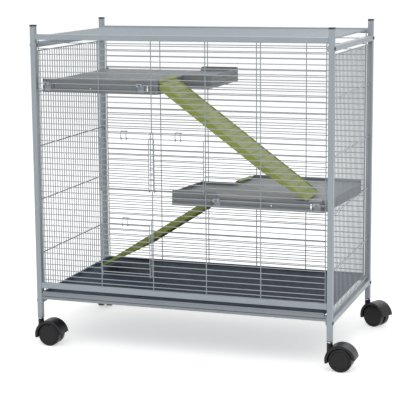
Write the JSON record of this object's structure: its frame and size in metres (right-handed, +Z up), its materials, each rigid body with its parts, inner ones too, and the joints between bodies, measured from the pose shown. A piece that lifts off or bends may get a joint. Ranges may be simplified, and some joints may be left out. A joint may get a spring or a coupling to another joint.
{
  "type": "ferret cage",
  "caption": "Rolling wire pet cage with a square-tube frame, drop-down wire doors, two moulded shelves joined by ramps, and a slide-out floor tray.",
  "frame": {"origin": "on the floor, midway between the four posts", "axes": "+X to the cage's right seen from the front, +Y to the back, +Z up"},
  "size_m": [0.8513, 0.478, 0.817],
  "materials": {
    "frame_paint": "satin blue-grey powder coat",
    "wire_paint": "satin pale grey powder coat on welded wire",
    "latch_wire": "bright spring wire",
    "bolt_steel": "dark zinc",
    "nut_steel": "bright zinc",
    "cap_plastic": "matt black",
    "shelf_plastic": "fine-grained mid grey moulding",
    "hook_plastic": "light grey",
    "ramp_plastic": "fine-grained olive green moulding",
    "tray_plastic": "dark slate moulding",
    "caster_plastic": "black nylon",
    "wheel_plastic": "black, slightly worn tread",
    "stem_steel": "plated"
  },
  "bodies": {
    "frame": {"post_front_left": "frame_paint", "post_front_right": "frame_paint", "post_back_left": "frame_paint", "post_back_right": "frame_paint", "post_caps": "cap_plastic", "top_rail_front": "frame_paint", "top_rail_back": "frame_paint", "top_rail_left": "frame_paint", "top_rail_right": "frame_paint", "panel_rail_front": "frame_paint", "base_rail_front": "frame_paint", "base_rail_back": "frame_paint", "base_rail_left": "frame_paint", "base_rail_right": "frame_paint", "frame_bolts": "bolt_steel", "frame_nuts": "nut_steel", "panel_front": "wire_paint", "panel_back": "wire_paint", "panel_left": "wire_paint", "panel_right": "wire_paint", "panel_top": "wire_paint", "shelf_upper": "shelf_plastic", "shelf_lower": "shelf_plastic", "shelf_hooks_upper": "hook_plastic", "shelf_hooks_lower": "hook_plastic", "caster_sockets": "cap_plastic"},
    "door_upper_left": {"door_upper_left": "wire_paint"},
    "latch_upper_left": {"latch_upper_left": "latch_wire"},
    "door_upper_middle": {"door_upper_middle": "wire_paint"},
    "latch_upper_middle": {"latch_upper_middle": "latch_wire"},
    "door_lower_left": {"door_lower_left": "wire_paint"},
    "latch_lower_left": {"latch_lower_left": "latch_wire"},
    "tray": {"tray": "tray_plastic"},
    "ramp_upper": {"ramp_upper": "ramp_plastic"},
    "ramp_lower": {"ramp_lower": "ramp_plastic"},
    "caster_front_left": {"caster_stem_front_left": "stem_steel", "caster_hood_front_left": "caster_plastic", "caster_axle_front_left": "stem_steel"},
    "wheel_left_front_left": {"wheel_left_front_left": "wheel_plastic"},
    "wheel_right_front_left": {"wheel_right_front_left": "wheel_plastic"},
    "caster_front_right": {"caster_stem_front_right": "stem_steel", "caster_hood_front_right": "caster_plastic", "caster_axle_front_right": "stem_steel"},
    "wheel_left_front_right": {"wheel_left_front_right": "wheel_plastic"},
    "wheel_right_front_right": {"wheel_right_front_right": "wheel_plastic"},
    "caster_back_left": {"caster_stem_back_left": "stem_steel", "caster_hood_back_left": "caster_plastic", "caster_axle_back_left": "stem_steel"},
    "wheel_left_back_left": {"wheel_left_back_left": "wheel_plastic"},
    "wheel_right_back_left": {"wheel_right_back_left": "wheel_plastic"},
    "caster_back_right": {"caster_stem_back_right": "stem_steel", "caster_hood_back_right": "caster_plastic", "caster_axle_back_right": "stem_steel"},
    "wheel_left_back_right": {"wheel_left_back_right": "wheel_plastic"},
    "wheel_right_back_right": {"wheel_right_back_right": "wheel_plastic"}
  },
  "joints": [
    {"name": "door_upper_left_hinge", "type": "hinge", "parent": "frame", "child": "door_upper_left", "pos_m": [-0.14025, -0.21823, 0.41262], "axis": [1, 0, 0], "range_deg": [0, 155]},
    {"name": "latch_upper_left_pivot", "type": "hinge", "parent": "door_upper_left", "child": "latch_upper_left", "pos_m": [-0.14025, -0.22278, 0.54162], "axis": [1, 0, 0], "range_deg": [0, 60]},
    {"name": "door_upper_middle_hinge", "type": "hinge", "parent": "frame", "child": "door_upper_middle", "pos_m": [0.00165, -0.21823, 0.41262], "axis": [1, 0, 0], "range_deg": [0, 155]},
    {"name": "latch_upper_middle_pivot", "type": "hinge", "parent": "door_upper_middle", "child": "latch_upper_middle", "pos_m": [0.00165, -0.22278, 0.54162], "axis": [1, 0, 0], "range_deg": [0, 60]},
    {"name": "door_lower_left_hinge", "type": "hinge", "parent": "frame", "child": "door_lower_left", "pos_m": [-0.14025, -0.21823, 0.19632], "axis": [1, 0, 0], "range_deg": [0, 105]},
    {"name": "latch_lower_left_pivot", "type": "hinge", "parent": "door_lower_left", "child": "latch_lower_left", "pos_m": [-0.14025, -0.22278, 0.32532], "axis": [1, 0, 0], "range_deg": [0, 60]},
    {"name": "tray_slide", "type": "slide", "parent": "frame", "child": "tray", "axis": [0, -1, 0], "range_m": [0, 0.42]},
    {"name": "ramp_upper_lift", "type": "hinge", "parent": "frame", "child": "ramp_upper", "pos_m": [-0.0555, -0.14255, 0.6802], "axis": [0, -1, 0], "range_deg": [0, 13]},
    {"name": "ramp_lower_lift", "type": "hinge", "parent": "frame", "child": "ramp_lower", "pos_m": [0.065, 0.11463, 0.39466], "axis": [0, 0.9989, -0.0465], "range_deg": [0, 11]},
    {"name": "caster_front_left_swivel", "type": "hinge", "parent": "frame", "child": "caster_front_left", "pos_m": [-0.38, -0.2172, 0.05], "axis": [0, 0, 1], "continuous": true},
    {"name": "wheel_left_front_left_spin", "type": "hinge", "parent": "caster_front_left", "child": "wheel_left_front_left", "pos_m": [-0.351, -0.2172, 0.02875], "axis": [0, 1, 0], "continuous": true},
    {"name": "wheel_right_front_left_spin", "type": "hinge", "parent": "caster_front_left", "child": "wheel_right_front_left", "pos_m": [-0.351, -0.2172, 0.02875], "axis": [0, 1, 0], "continuous": true},
    {"name": "caster_front_right_swivel", "type": "hinge", "parent": "frame", "child": "caster_front_right", "pos_m": [0.38, -0.2172, 0.05], "axis": [0, 0, 1], "continuous": true},
    {"name": "wheel_left_front_right_spin", "type": "hinge", "parent": "caster_front_right", "child": "wheel_left_front_right", "pos_m": [0.409, -0.2172, 0.02875], "axis": [0, 1, 0], "continuous": true},
    {"name": "wheel_right_front_right_spin", "type": "hinge", "parent": "caster_front_right", "child": "wheel_right_front_right", "pos_m": [0.409, -0.2172, 0.02875], "axis": [0, 1, 0], "continuous": true},
    {"name": "caster_back_left_swivel", "type": "hinge", "parent": "frame", "child": "caster_back_left", "pos_m": [-0.38, 0.2172, 0.05], "axis": [0, 0, 1], "continuous": true},
    {"name": "wheel_left_back_left_spin", "type": "hinge", "parent": "caster_back_left", "child": "wheel_left_back_left", "pos_m": [-0.37249, 0.18919, 0.02875], "axis": [0.9659, 0.2588, 0], "continuous": true},
    {"name": "wheel_right_back_left_spin", "type": "hinge", "parent": "caster_back_left", "child": "wheel_right_back_left", "pos_m": [-0.37249, 0.18919, 0.02875], "axis": [0.9659, 0.2588, 0], "continuous": true},
    {"name": "caster_back_right_swivel", "type": "hinge", "parent": "frame", "child": "caster_back_right", "pos_m": [0.38, 0.2172, 0.05], "axis": [0, 0, 1], "continuous": true},
    {"name": "wheel_left_back_right_spin", "type": "hinge", "parent": "caster_back_right", "child": "wheel_left_back_right", "pos_m": [0.40628, 0.20494, 0.02875], "axis": [0.4226, 0.9063, 0], "continuous": true},
    {"name": "wheel_right_back_right_spin", "type": "hinge", "parent": "caster_back_right", "child": "wheel_right_back_right", "pos_m": [0.40628, 0.20494, 0.02875], "axis": [0.4226, 0.9063, 0], "continuous": true}
  ]
}
